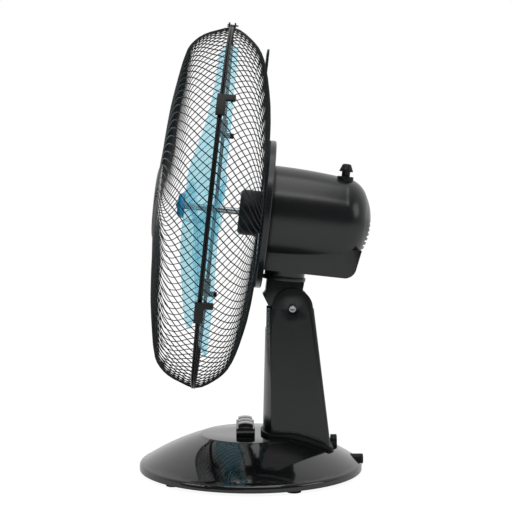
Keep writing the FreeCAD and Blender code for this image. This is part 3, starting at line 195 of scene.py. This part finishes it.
def natural_nylon():
    """Unfilled nylon as moulded: milky white and a little waxy."""
    return moulded("moulded_natural_nylon", linear("#d9d4c4"), linear("#e8e4d8"), 0.45,
                   1.0 * MM, 0.02 * MM, IOR=1.53, Subsurface_Weight=0.1,
                   Subsurface_Scale=2 * MM)


def capacitor_case():
    """Filled polyester as moulded: off-white and dull."""
    return moulded("moulded_polyester_case", linear("#d8d5cb"), linear("#e6e4dc"), 0.5,
                   0.8 * MM, 0.02 * MM, IOR=1.55)


def foot_rubber():
    """Nitrile rubber from a plain mould: dull near-black with pale dust in its pores."""
    return moulded("moulded_nitrile_rubber", linear("#121212"), linear("#232221"), 0.82,
                   0.7 * MM, 0.05 * MM, IOR=1.5)


def clear_blade(colours):
    """Tinted SAN as moulded: clear pale cyan, deeper where two blades overlap."""
    material, tree, output = start("tinted_moulded_san")
    place = add(tree, "ShaderNodeTexCoord").outputs["Object"]
    flow = add(tree, "ShaderNodeTexNoise", Vector=place, Scale=1 / (60 * MM), Detail=2.0)
    base = (*colours.blade, 1.0)
    deep = (colours.blade[0] * 0.8, colours.blade[1] * 0.93, colours.blade[2] * 0.98, 1.0)
    tint = add(tree, "ShaderNodeMix", {"data_type": "RGBA"}, i0=flow.outputs["Fac"],
               i6=base, i7=deep)
    peel = add(tree, "ShaderNodeTexNoise", Vector=place, Scale=1 / (8 * MM), Detail=1.0)
    bump = add(tree, "ShaderNodeBump", Strength=0.3, Distance=0.01 * MM,
               Height=peel.outputs["Fac"])
    gloss = add(tree, "ShaderNodeMapRange", Value=peel.outputs["Fac"], To_Min=0.12,
                To_Max=0.2)
    skin = add(tree, "ShaderNodeBsdfPrincipled", Base_Color=tint.outputs[2],
               Roughness=gloss.outputs[0], Normal=bump.outputs[0], IOR=1.5)
    clear = add(tree, "ShaderNodeBsdfTransparent", Color=tint.outputs[2])
    mixed = add(tree, "ShaderNodeMixShader", i0=0.16, i1=clear.outputs[0],
                i2=skin.outputs[0])
    tree.links.new(mixed.outputs[0], output.inputs[0])
    return material


def blue_spinner(colours):
    """The same clear plastic in a deep blue, thicker and so nearly opaque."""
    deep = (*colours.spinner, 1.0)
    return moulded("deep_tinted_moulded_san", deep, linear("#2a9fd0"), 0.18, 3 * MM,
                   0.01 * MM, IOR=1.5)


def metal(name, dark, pale, rough, stretch, line, depth):
    """A metal: two shades along its working marks, which also roughen and score it."""
    material, tree, output = start(name)
    place = add(tree, "ShaderNodeTexCoord").outputs["Object"]
    along = add(tree, "ShaderNodeMapping", Vector=place, Scale=stretch)
    marks = add(tree, "ShaderNodeTexNoise", Vector=along.outputs[0], Scale=1 / line,
                Detail=4.0)
    shade = add(tree, "ShaderNodeMix", {"data_type": "RGBA"}, i0=marks.outputs["Fac"],
                i6=dark, i7=pale)
    gloss = add(tree, "ShaderNodeMapRange", Value=marks.outputs["Fac"], To_Min=rough * 0.8,
                To_Max=rough * 1.3)
    bump = add(tree, "ShaderNodeBump", Strength=0.4, Distance=depth,
               Height=marks.outputs["Fac"])
    skin = add(tree, "ShaderNodeBsdfPrincipled", Base_Color=shade.outputs[2], Metallic=1.0,
               Roughness=gloss.outputs[0], Normal=bump.outputs[0])
    tree.links.new(skin.outputs[0], output.inputs[0])
    return material


def zinc_steel():
    """Steel, bright zinc plated: pale, slightly blue and softly cloudy."""
    return metal("zinc_plated_steel", linear("#a9adb2"), linear("#cfd3d6"), 0.3,
                 (1, 1, 1), 2 * MM, 0.01 * MM)


def ground_steel():
    """Steel ground between centres: fine rings round the shaft."""
    return metal("centre_ground_steel", linear("#8f9296"), linear("#b9bcbf"), 0.24,
                 (0.2, 3, 0.2), 1 * MM, 0.005 * MM)


def spring_steel():
    """Spring steel, hardened and blued in oil."""
    return metal("oil_blued_spring_steel", linear("#2b2e36"), linear("#454a55"), 0.35,
                 (1, 1, 1), 1.5 * MM, 0.01 * MM)


def cast_aluminium():
    """Aluminium, pressure die cast: grey with faint cold-flow clouds."""
    return metal("die_cast_aluminium", linear("#9b9da0"), linear("#bfc1c3"), 0.45,
                 (1, 1, 1), 4 * MM, 0.03 * MM)


def cast_iron():
    """Grey iron, sand cast: dark with a coarse skin."""
    return metal("sand_cast_iron", linear("#3a3836"), linear("#55524f"), 0.65,
                 (1, 1, 1), 1.2 * MM, 0.1 * MM)


def silicon_steel():
    """Silicon steel, punched and stacked: thin sheets that show as fine lines round the core.

    The real sheets are 0.5 mm, so the lines are drawn at 1 mm to show."""
    return metal("stacked_silicon_steel", linear("#4c4e52"), linear("#8a8c90"), 0.42,
                 (0.02, 1, 0.02), 1 * MM, 0.05 * MM)


def enamelled_copper():
    """Enamelled copper wire, wound and varnished: amber-brown turns under a gloss."""
    return metal("wound_enamelled_copper", linear("#7c3f1c"), linear("#c07a3c"), 0.3,
                 (0.1, 1, 0.1), 0.8 * MM, 0.12 * MM)


def make_finishes(colours):
    """Every finish by the record's material slot."""
    return {
        "black_gloss": gloss_black(colours),
        "black_plastic": black_nylon(),
        "charcoal": satin_charcoal(colours),
        "iron": cast_iron(),
        "zinc_steel": zinc_steel(),
        "spring_steel": spring_steel(),
        "shaft_steel": ground_steel(),
        "foot_rubber": foot_rubber(),
        "white_plastic": natural_nylon(),
        "cast_aluminium": cast_aluminium(),
        "lamination": silicon_steel(),
        "copper_winding": enamelled_copper(),
        "guard_wire": coated_wire(),
        "capacitor_case": capacitor_case(),
        "cyan_plastic": clear_blade(colours),
        "blue_plastic": blue_spinner(colours),
    }


FINISHES = {}


def finish_with(piece, slot):
    """Gives a piece the one finish of the given slot."""
    piece.data.materials.clear()
    piece.data.materials.append(FINISHES[slot])
    return piece


# ---------------------------------------------------------------- modelling

def nothing_selected():
    """Deselects everything."""
    bpy.ops.object.select_all(action="DESELECT")


def only(piece):
    """Makes a piece the one that is selected and active."""
    nothing_selected()
    piece.select_set(True)
    bpy.context.view_layer.objects.active = piece
    return piece


def chain(name, points):
    """A line of edges, extruded from its first point to each next one."""
    nothing_selected()
    bpy.ops.mesh.primitive_plane_add(size=MM, location=(0, 0, 0))
    piece = bpy.context.object
    piece.name = name
    piece.data.name = name
    bpy.ops.object.mode_set(mode="EDIT")
    bpy.ops.mesh.select_all(action="SELECT")
    bpy.ops.mesh.merge(type="CENTER")
    bpy.ops.transform.translate(value=points[0])
    for before, after in zip(points, points[1:]):
        step = Vector(after) - Vector(before)
        bpy.ops.mesh.extrude_region_move(TRANSFORM_OT_translate={"value": step})
    bpy.ops.object.mode_set(mode="OBJECT")
    return piece


def place(piece, matrix):
    """Moves a piece's mesh into place and leaves its object at the origin."""
    only(piece)
    piece.matrix_world = matrix
    bpy.ops.object.transform_apply(location=True, rotation=True, scale=True)
    return piece


SHARP_ANGLE = 35  # degrees; an edge that turns by more is a hard one


def soften(piece, width):
    """Rounds a piece's hard edges and shades it smooth between them."""
    only(piece)
    bevel = piece.modifiers.new("edges", "BEVEL")
    bevel.width = width
    bevel.segments = 2
    bevel.limit_method = "ANGLE"
    bevel.angle_limit = math.radians(SHARP_ANGLE)
    bevel.use_clamp_overlap = True
    bpy.ops.object.modifier_apply(modifier="edges")
    return smooth(piece)


def smooth(piece):
    """Shades a piece smooth between its hard edges."""
    only(piece)
    bpy.ops.object.shade_smooth_by_angle(angle=math.radians(SHARP_ANGLE))
    return piece


def traced(node, name):
    """A welded copy of a CAD node's shape, to be finished and shown in its place."""
    source = frame["nodes"][node]
    piece = source.copy()
    piece.data = source.data.copy()
    piece.name = name
    piece.data.name = name
    for key in list(piece.keys()):
        del piece[key]
    piece.parent = None
    bpy.context.scene.collection.objects.link(piece)
    only(piece)
    bpy.ops.mesh.customdata_custom_splitnormals_clear()
    bpy.ops.object.mode_set(mode="EDIT")
    bpy.ops.mesh.select_all(action="SELECT")
    bpy.ops.mesh.remove_doubles(threshold=0.002 * MM)
    bpy.ops.mesh.tris_convert_to_quads(face_threshold=0.02, shape_threshold=0.9)
    bpy.ops.object.mode_set(mode="OBJECT")
    return piece


def settle(piece, body, slot, *nodes):
    """Gives a piece its finish and its body, and hides the CAD nodes that it stands for."""
    finish_with(piece, slot)
    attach(piece, body)
    if nodes:
        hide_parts(*nodes)
    return piece


def joined(name, parts):
    """Several pieces made one."""
    nothing_selected()
    for part in parts:
        part.select_set(True)
    bpy.context.view_layer.objects.active = parts[0]
    bpy.ops.object.join()
    parts[0].name = name
    parts[0].data.name = name
    return parts[0]


def copies_round(piece, count, first=0.0):
    """Copies of a piece evenly round the fan's axis, each with its own mesh."""
    made = []
    for index in range(count):
        copy = piece.copy()
        copy.data = piece.data.copy()
        copy.data.transform(Matrix.Rotation(first + math.tau * index / count, 4, "Y"))
        bpy.context.scene.collection.objects.link(copy)
        made.append(copy)
    name = piece.name
    bpy.data.objects.remove(piece)
    return joined(name, made)


def cross_recess(piece, centre, reach, slot, depth):
    """Sinks a driver's cross into a screw head that faces +X."""
    for long_y, long_z in ((reach, slot), (slot, reach)):
        nothing_selected()
        bpy.ops.mesh.primitive_cube_add(size=2, location=centre)
        bar = bpy.context.object
        bar.scale = (depth, long_y, long_z)
        only(piece)
        sink = piece.modifiers.new("cross", "BOOLEAN")
        sink.operation = "DIFFERENCE"
        sink.object = bar
        bpy.ops.object.modifier_apply(modifier="cross")
        bpy.data.objects.remove(bar)
    return piece


# ---------------------------------------------------------------- the fan's pieces

# A wire's line as (distance from the rim's plane, radius) in mm, and at each point the share
# of the whole turn that the wire has made there.
FRONT_LINE = [(0, 213), (8, 211), (16, 208), (24, 205), (30.7, 201.6), (36, 197.8),
              (40.6, 193.4), (44.2, 189), (46.7, 184.5), (50, 173), (52.5, 160), (55.2, 145),
              (57.6, 130), (59.5, 112), (61, 94), (63.2, 73), (65, 56), (66, 44.8)]
FRONT_TURN = [0, 0.05, 0.11, 0.19, 0.26, 0.31, 0.35, 0.38, 0.41, 0.47, 0.53, 0.60, 0.67, 0.75,
              0.82, 0.90, 0.96, 1.0]
REAR_LINE = [(0, 213), (5, 212.2), (9.9, 210.9), (16.5, 207.2), (22.7, 202.8), (28.2, 198.4),
             (33.2, 193.4), (37.4, 187.5), (41.2, 180), (44.8, 170), (47.7, 159.4), (51, 145),
             (53.8, 130.4), (56.1, 112), (57.2, 98), (57.3, 85.4)]
REAR_TURN = [0, 0.04, 0.09, 0.17, 0.25, 0.32, 0.38, 0.44, 0.51, 0.58, 0.65, 0.73, 0.81, 0.89,
             0.95, 1.0]


RIM_SEAT = 1.2  # how far from the rim's plane a wire ends, at the side of its ring


def guard_wire(name, line, turn, sweep, way, radius):
    """One wire of the guard, from the rim inwards."""
    points = []
    for (along, out), share in zip(line, turn):
        along = max(along, RIM_SEAT)
        angle = sweep * share
        points.append((out * MM * math.sin(angle), way * along * MM,
                       out * MM * math.cos(angle)))
    piece = chain(name, points)
    only(piece)
    bpy.ops.object.convert(target="CURVE")
    piece = bpy.context.object
    piece.data.bevel_depth = radius
    piece.data.bevel_resolution = 1
    piece.data.use_fill_caps = True
    bpy.ops.object.convert(target="MESH")
    piece = bpy.context.object
    only(piece)
    bpy.ops.object.shade_smooth()
    return piece


class FAN_OT_finishes(bpy.types.Operator):
    """Makes the finishes and gives each CAD part its own"""
    bl_idname = "fan.finishes"
    bl_label = "Finishes"

    def execute(self, context):
        FINISHES.update(make_finishes(context.scene.fan_colours))
        for part in frame["record"]["subparts"]:
            node = frame["nodes"][part["node"]]
            for slot in node.material_slots:
                slot.material = FINISHES[part["material_slot"]]
        return {"FINISHED"}


class FAN_OT_guard(bpy.types.Operator):
    """Models the wires of the two guard halves"""
    bl_idname = "fan.guard"
    bl_label = "Wire guard"

    def execute(self, context):
        sizes = context.scene.fan_guard
        halves = (("front_grille_wires", FRONT_LINE, FRONT_TURN, sizes.front_sweep, -1,
                   "front_guard_wires"),
                  ("rear_grille_wires", REAR_LINE, REAR_TURN, sizes.rear_sweep, 1,
                   "rear_guard_wires"))
        for name, line, turn, sweep, way, node in halves:
            wire = guard_wire(name, line, turn, sweep, way, sizes.wire_radius)
            wires = copies_round(wire, sizes.wires, math.pi / sizes.wires)
            place(wires, HEAD)
            settle(wires, "head", "guard_wire", node)
        return {"FINISHED"}


# node, edge rounding in mm, slot
BASE_MOULDINGS = (("base_shell", 0.0, "black_gloss"), ("cord_inlet", 0.5, "black_plastic"))
KEYS = (("stop", "key_stop"), ("low", "key_low"), ("high", "key_high"))
COLUMN_MOULDINGS = (
    ("column_shell", 0.8, "charcoal"),
    ("column_cover", 0.6, "charcoal"),
    ("column_collar", 0.5, "black_plastic"),
)
NECK_MOULDINGS = (("neck_bracket", 0.7, "charcoal"), ("swivel_plate", 0.5, "charcoal"))
HEAD_MOULDINGS = (
    ("motor_housing", 0.5, "charcoal"),
    ("mount_plate", 0.0, "charcoal"),
    ("knob_collar", 0.3, "black_plastic"),
)
GUARD_MOULDINGS = (
    ("guard_badge", 0.4, "black_gloss"),
    ("guard_clips", 0.5, "black_plastic"),
    ("carry_handle", 0.4, "black_plastic"),
    ("guard_nut", 0.4, "black_plastic"),
)
ROTOR_MOULDINGS = (("fan_blade", 0.0, "cyan_plastic"), ("spinner_nut", 0.5, "blue_plastic"))


def mould(body, rows):
    """Finishes a body's mouldings, with their hard edges rounded."""
    for node, width, slot in rows:
        piece = traced(node, node + "_moulding")
        if width:
            soften(piece, width * MM)
        else:
            smooth(piece)
        settle(piece, body, slot, node)


class FAN_OT_base(bpy.types.Operator):
    """Models the base and its cord inlet"""
    bl_idname = "fan.base"
    bl_label = "Base"

    def execute(self, context):
        mould("stand", BASE_MOULDINGS)
        return {"FINISHED"}


class FAN_OT_keys(bpy.types.Operator):
    """Models the three keys and their frame"""
    bl_idname = "fan.keys"
    bl_label = "Keys"

    def execute(self, context):
        mould("stand", (("key_bezel", 0.5, "black_gloss"),))
        for name, node in KEYS:
            mould(name + "_key", ((node, 0.8, "black_gloss"),))
        return {"FINISHED"}


class FAN_OT_column(bpy.types.Operator):
    """Models the column, its cover and its collar"""
    bl_idname = "fan.column"
    bl_label = "Column"

    def execute(self, context):
        mould("stand", COLUMN_MOULDINGS)
        return {"FINISHED"}


class FAN_OT_neck(bpy.types.Operator):
    """Models the tilting neck"""
    bl_idname = "fan.neck"
    bl_label = "Neck"

    def execute(self, context):
        mould("neck", NECK_MOULDINGS)
        return {"FINISHED"}


class FAN_OT_head(bpy.types.Operator):
    """Models the motor housing, its plate and the knob's collar"""
    bl_idname = "fan.head"
    bl_label = "Motor housing"

    def execute(self, context):
        mould("head", HEAD_MOULDINGS)
        return {"FINISHED"}


class FAN_OT_knob(bpy.types.Operator):
    """Models the swing knob"""
    bl_idname = "fan.knob"
    bl_label = "Swing knob"

    def execute(self, context):
        mould("knob", (("swing_knob", 0.3, "black_plastic"),))
        return {"FINISHED"}


class FAN_OT_guard_fittings(bpy.types.Operator):
    """Models the badge, clips, handle and nut of the guard"""
    bl_idname = "fan.guard_fittings"
    bl_label = "Guard fittings"

    def execute(self, context):
        mould("head", GUARD_MOULDINGS)
        return {"FINISHED"}


class FAN_OT_propeller(bpy.types.Operator):
    """Models the blades and the spinner nut"""
    bl_idname = "fan.propeller"
    bl_label = "Propeller"

    def execute(self, context):
        mould("rotor", ROTOR_MOULDINGS)
        return {"FINISHED"}


CROSS_REACH = 2.6 * MM
CROSS_SLOT = 0.5 * MM
CROSS_DEPTH = 1.2 * MM


class FAN_OT_hinge_bolt(bpy.types.Operator):
    """Models the tilt bolt with the driver's cross in its head"""
    bl_idname = "fan.hinge_bolt"
    bl_label = "Hinge bolt"

    def execute(self, context):
        piece = traced("tilt_bolt", "tilt_bolt_turned")
        centre = Vector(JOINTS["tilt"]["pos_m"])
        centre.x = max(vertex.co.x for vertex in piece.data.vertices)
        cross_recess(piece, centre, CROSS_REACH, CROSS_SLOT, CROSS_DEPTH)
        soften(piece, 0.15 * MM)
        settle(piece, "stand", "zinc_steel", "tilt_bolt")
        return {"FINISHED"}


FLOOR_GLOW = 1.1
FLOOR_SHARE = 0.85
ROOM_LIGHT = 0.55
# name, place, target, width, height, power
LAMPS = (
    ("overhead", (0.3, 0.0, 2.2), (0, 0, 0.3), 1.6, 1.6, 13),
    ("strip", (1.25, 0.05, 1.95), (0, 0.05, 0.3), 1.8, 0.3, 7),
    ("left_box", (1.2, -1.9, 1.3), (0, 0, 0.3), 1.0, 1.0, 7),
    ("right_box", (0.9, 2.0, 1.2), (0, 0, 0.25), 1.0, 1.0, 6),
)
CAMERA_PLACE = (1.3758, -0.0216, 0.3172)
CAMERA_AZIMUTH = math.radians(88.84)
CAMERA_PITCH = math.radians(2.49)
SENSOR_WIDTH = 36.0


class FAN_OT_stage(bpy.types.Operator):
    """Sets the floor, the soft studio light and the camera"""
    bl_idname = "fan.stage"
    bl_label = "Stage"

    def execute(self, context):
        stage = context.scene.fan_stage
        nothing_selected()
        bpy.ops.mesh.primitive_plane_add(size=stage.floor_size, location=(0, 0, 0))
        floor = bpy.context.object
        floor.name = "floor"
        material, tree, output = start("painted_board")
        ray = add(tree, "ShaderNodeLightPath")
        seen = add(tree, "ShaderNodeMath", {"operation": "MAXIMUM"},
                   i0=ray.outputs["Is Camera Ray"], i1=ray.outputs["Is Transmission Ray"])
        share = add(tree, "ShaderNodeMath", {"operation": "MULTIPLY"}, i0=seen.outputs[0],
                    i1=FLOOR_SHARE)
        board = add(tree, "ShaderNodeBsdfDiffuse", Color=linear("#f2f2f2"))
        glow = add(tree, "ShaderNodeEmission", Color=(1, 1, 1, 1), Strength=FLOOR_GLOW)
        mixed = add(tree, "ShaderNodeMixShader", i0=share.outputs[0], i1=board.outputs[0],
                    i2=glow.outputs[0])
        tree.links.new(mixed.outputs[0], output.inputs[0])
        floor.data.materials.append(material)

        world = bpy.data.worlds.new("studio")
        context.scene.world = world
        world.use_nodes = True
        tree = world.node_tree
        tree.nodes.clear()
        output = add(tree, "ShaderNodeOutputWorld")
        ray = add(tree, "ShaderNodeLightPath")
        seen = add(tree, "ShaderNodeMath", {"operation": "MAXIMUM"},
                   i0=ray.outputs["Is Camera Ray"], i1=ray.outputs["Is Transmission Ray"])
        way = add(tree, "ShaderNodeTexCoord").outputs["Generated"]
        split = add(tree, "ShaderNodeSeparateXYZ", Vector=way)
        wall = add(tree, "ShaderNodeMapRange", Value=split.outputs["X"], From_Min=0.6,
                   From_Max=-0.5, To_Min=0.10, To_Max=0.85)
        room = add(tree, "ShaderNodeMix", {"data_type": "FLOAT"},
                   i0=ray.outputs["Is Glossy Ray"], i2=ROOM_LIGHT, i3=wall.outputs[0])
        strength = add(tree, "ShaderNodeMix", {"data_type": "FLOAT"}, i0=seen.outputs[0],
                       i2=room.outputs[0], i3=1.0)
        sky = add(tree, "ShaderNodeBackground", Color=(1, 1, 1, 1),
                  Strength=strength.outputs[0])
        tree.links.new(sky.outputs[0], output.inputs[0])

        for name, spot, target, width, height, power in LAMPS:
            lamp = bpy.data.lights.new(name, "AREA")
            lamp.shape = "RECTANGLE"
            lamp.size = width
            lamp.size_y = height
            lamp.energy = power
            holder = bpy.data.objects.new(name, lamp)
            holder.location = spot
            aim = Vector(target) - Vector(spot)
            holder.rotation_euler = aim.to_track_quat("-Z", "Y").to_euler()
            context.scene.collection.objects.link(holder)

        lens = bpy.data.cameras.new("camera")
        lens.lens = stage.lens
        lens.sensor_width = SENSOR_WIDTH
        camera = bpy.data.objects.new("camera", lens)
        camera.location = CAMERA_PLACE
        look = Vector((-math.sin(CAMERA_AZIMUTH) * math.cos(CAMERA_PITCH),
                       math.cos(CAMERA_AZIMUTH) * math.cos(CAMERA_PITCH),
                       -math.sin(CAMERA_PITCH)))
        camera.rotation_euler = look.to_track_quat("-Z", "Y").to_euler()
        context.scene.collection.objects.link(camera)
        context.scene.camera = camera
        context.scene.view_settings.view_transform = "Standard"
        return {"FINISHED"}


# ---------------------------------------------------------------- the add-on

class FAN_PT_panel(bpy.types.Panel):
    """Lists the fan's operators and sizes"""
    bl_idname = "FAN_PT_panel"
    bl_label = "Desk Fan"
    bl_space_type = "VIEW_3D"
    bl_region_type = "UI"
    bl_category = "Desk Fan"

    def draw(self, context):
        for group in (context.scene.fan_guard, context.scene.fan_colours,
                      context.scene.fan_stage):
            for name in group.__annotations__:
                self.layout.prop(group, name)
        for operator in OPERATORS:
            self.layout.operator(operator.bl_idname)


OPERATORS = (
    FAN_OT_stage, FAN_OT_finishes, FAN_OT_base, FAN_OT_keys, FAN_OT_column, FAN_OT_hinge_bolt,
    FAN_OT_neck, FAN_OT_head, FAN_OT_knob, FAN_OT_guard, FAN_OT_guard_fittings,
    FAN_OT_propeller)
GROUPS = (GuardSizes, FanColours, StageSizes)


def register():
    for made in (*GROUPS, *OPERATORS, FAN_PT_panel):
        bpy.utils.register_class(made)
    bpy.types.Scene.fan_guard = bpy.props.PointerProperty(type=GuardSizes)
    bpy.types.Scene.fan_colours = bpy.props.PointerProperty(type=FanColours)
    bpy.types.Scene.fan_stage = bpy.props.PointerProperty(type=StageSizes)


def unregister():
    del bpy.types.Scene.fan_stage
    del bpy.types.Scene.fan_colours
    del bpy.types.Scene.fan_guard
    for made in reversed((*GROUPS, *OPERATORS, FAN_PT_panel)):
        bpy.utils.unregister_class(made)


def main():
    """Registers the add-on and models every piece."""
    register()
    bpy.ops.fan.stage()
    bpy.ops.fan.finishes()
    bpy.ops.fan.base()
    bpy.ops.fan.keys()
    bpy.ops.fan.column()
    bpy.ops.fan.hinge_bolt()
    bpy.ops.fan.neck()
    bpy.ops.fan.head()
    bpy.ops.fan.knob()
    bpy.ops.fan.guard()
    bpy.ops.fan.guard_fittings()
    bpy.ops.fan.propeller()


if __name__ == "__main__":
    main()
